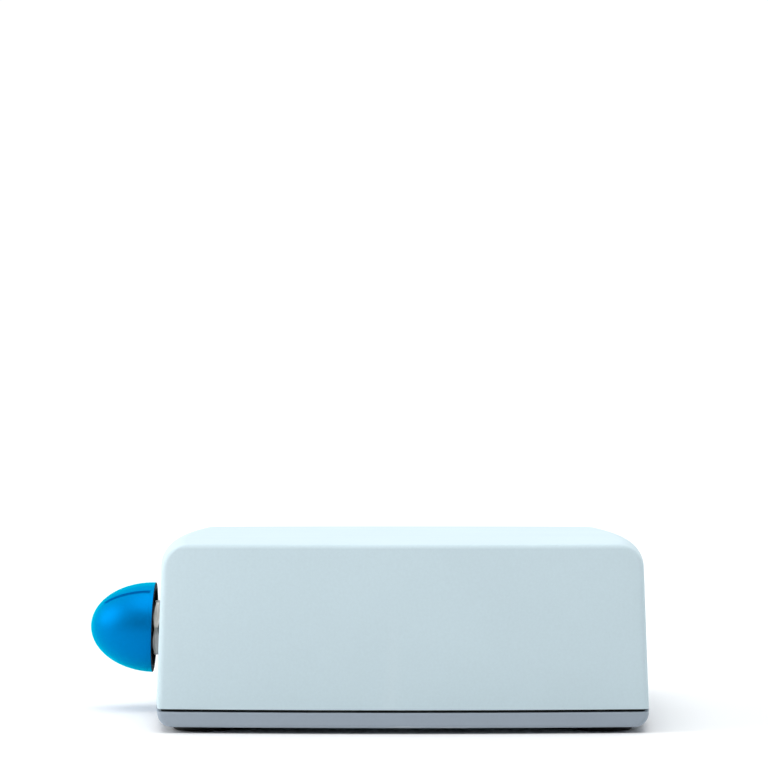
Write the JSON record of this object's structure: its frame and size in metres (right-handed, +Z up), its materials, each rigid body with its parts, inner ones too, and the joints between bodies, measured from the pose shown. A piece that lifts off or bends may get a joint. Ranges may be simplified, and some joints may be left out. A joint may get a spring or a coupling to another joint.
{
  "type": "magnetic stirrer",
  "caption": "Low box-shaped magnetic stirrer with a flat vessel platform, a half-egg speed knob on its left wall and a spinning magnet drive inside.",
  "frame": {"origin": "under the middle of the overall length, knob included, on the surface that the feet stand on", "axes": "+Z up; the speed knob is on the -X wall and the supply socket on the +X wall; -Y is the front"},
  "size_m": [0.1482, 0.1276, 0.0466],
  "materials": {
    "cover_plastic": "satin light blue-grey moulding",
    "base_plastic": "satin slate grey moulding",
    "black_rubber": "matt black rubber",
    "knob_plastic": "soft-gloss blue moulding",
    "nickel": "nickel plate",
    "steel": "plain steel",
    "zinc_sheet": "zinc-plated sheet",
    "bronze": "sintered bronze",
    "ferrite": "ground ferrite",
    "neodymium": "nickel-plated magnet",
    "nylon": "natural nylon",
    "black_plastic": "black moulding",
    "phenolic": "brown phenolic laminate",
    "board_green": "green solder mask",
    "copper": "bare copper",
    "red_wire": "red wire insulation",
    "black_wire": "black wire insulation",
    "grey_cable": "grey cable jacket"
  },
  "bodies": {
    "housing": {"top_cover": "cover_plastic", "base_plate": "base_plastic", "seam_gasket": "black_rubber", "foot_front_left": "black_rubber", "foot_front_right": "black_rubber", "foot_rear_left": "black_rubber", "foot_rear_right": "black_rubber", "grommet_front_left": "black_rubber", "grommet_front_right": "black_rubber", "grommet_rear_left": "black_rubber", "grommet_rear_right": "black_rubber", "base_screw_front_left": "steel", "base_screw_front_right": "steel", "base_screw_rear_left": "steel", "base_screw_rear_right": "steel", "bracket_screw_front_left": "steel", "bracket_screw_front_right": "steel", "bracket_screw_rear_left": "steel", "bracket_screw_rear_right": "steel", "board_screw_1": "steel", "board_screw_2": "steel", "board_screw_3": "steel", "board_screw_4": "steel", "motor_screw_left": "steel", "motor_screw_right": "steel", "pot_nut": "nickel", "pot_washer": "nickel", "pot_bushing": "nickel", "jack_nut": "nickel", "jack_pin": "nickel", "pot_can": "zinc_sheet", "motor_can": "zinc_sheet", "motor_bracket": "zinc_sheet", "pot_wafer": "phenolic", "front_bush": "bronze", "rear_bush": "bronze", "stator_magnet_north": "ferrite", "stator_magnet_south": "ferrite", "lead_header": "nylon", "motor_end_bell": "black_plastic", "driver_chip": "black_plastic", "smoothing_capacitor": "black_plastic", "dc_jack": "black_plastic", "control_board": "board_green", "motor_lead_positive": "red_wire", "supply_lead_positive": "red_wire", "motor_lead_negative": "black_wire", "supply_lead_negative": "black_wire", "pot_cable": "grey_cable"},
    "knob": {"speed_knob": "knob_plastic", "pot_shaft": "steel"},
    "rotor": {"magnet_carrier": "nylon", "drive_magnet_north": "neodymium", "drive_magnet_south": "neodymium", "back_iron": "steel", "carrier_grub_screw": "steel", "motor_shaft": "steel", "armature": "steel", "commutator": "copper"}
  },
  "joints": [
    {"name": "knob_turn", "type": "hinge", "parent": "housing", "child": "knob", "pos_m": [-0.05408, 0, 0.0219], "axis": [-0.9994, 0, 0.0349], "range_deg": [-115, 185]},
    {"name": "rotor_spin", "type": "hinge", "parent": "housing", "child": "rotor", "pos_m": [0.00916, 0, 0], "axis": [0, 0, 1], "continuous": true}
  ]
}
